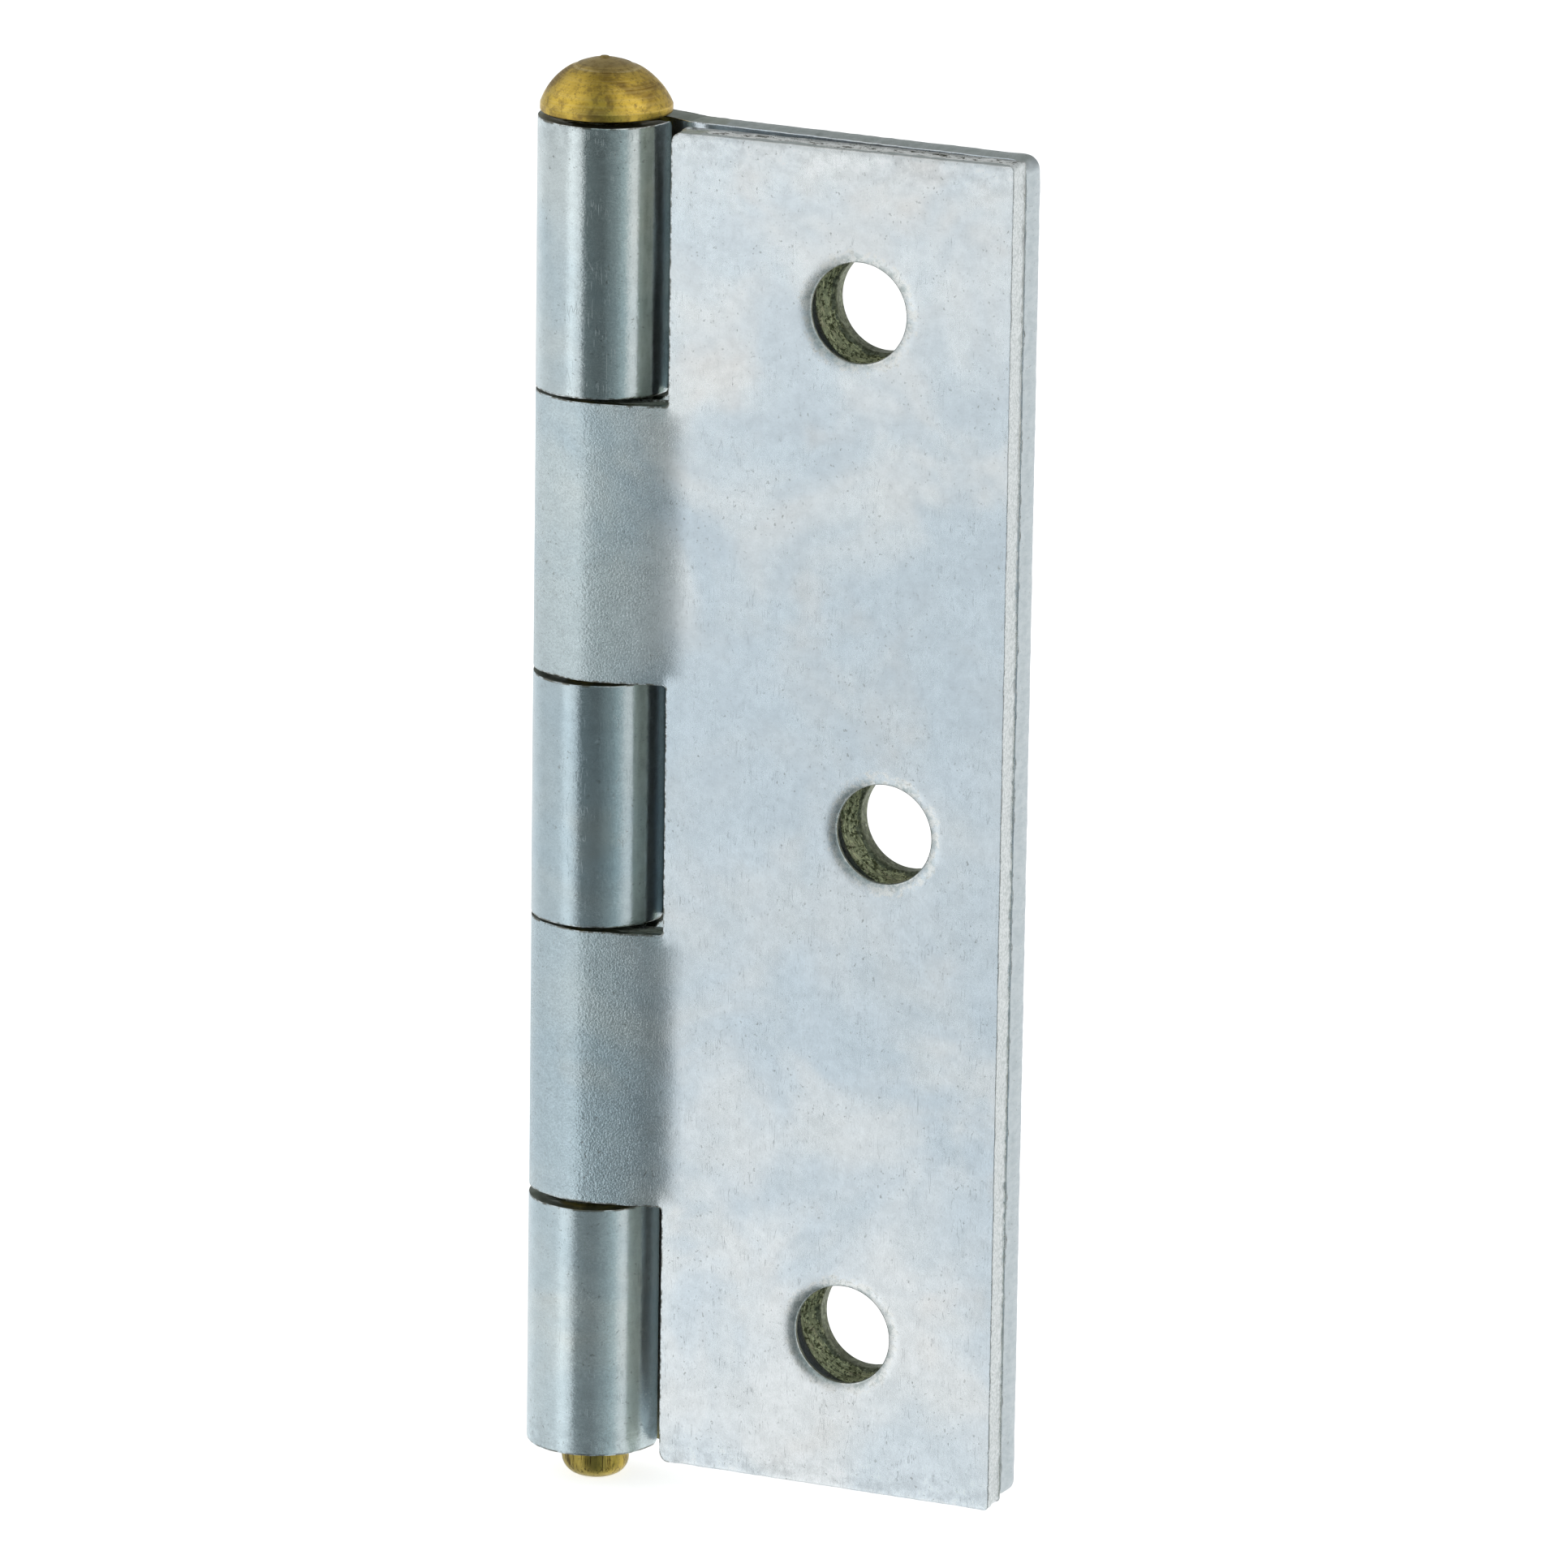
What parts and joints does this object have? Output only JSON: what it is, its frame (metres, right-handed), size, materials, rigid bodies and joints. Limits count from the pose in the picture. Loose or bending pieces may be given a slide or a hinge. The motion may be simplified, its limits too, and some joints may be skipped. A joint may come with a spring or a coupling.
{
  "type": "butt hinge with loose pin",
  "caption": "Pressed steel butt hinge, shown closed: rolled interlocking knuckles on a lift-out brass pin with a domed head, staggered countersunk screw holes in both leaves.",
  "frame": {"origin": "midway between the back leaf's two outer screw holes, on its mounting face; the pin axis is 16.2 mm towards -X and 2.6 mm towards -Y from it", "axes": "+Z along the pin towards its domed head, +Y out of the back leaf's mounting face, +X from the pin towards the leaves' free edges; the hinge is modelled closed, with the front leaf on the -Y side"},
  "size_m": [0.0291, 0.0076, 0.0814],
  "materials": {
    "zinc_plate": "bright zinc plating on pressed sheet steel, pale blue-white, finely grained, with burnished knuckles and rough sheared edges",
    "brass": "turned brass, fine tool marks, lightly tarnished"
  },
  "bodies": {
    "back_leaf": {"back_leaf": "zinc_plate"},
    "front_leaf": {"front_leaf": "zinc_plate"},
    "hinge_pin": {"hinge_pin": "brass"}
  },
  "joints": [
    {"name": "leaf_swing", "type": "hinge", "parent": "back_leaf", "child": "front_leaf", "pos_m": [-0.0162, -0.0026, 0], "axis": [0, 0, -1], "range_deg": [0, 300]},
    {"name": "pin_lift", "type": "slide", "parent": "back_leaf", "child": "hinge_pin", "axis": [0, 0, 1], "range_m": [0, 0.08]}
  ]
}
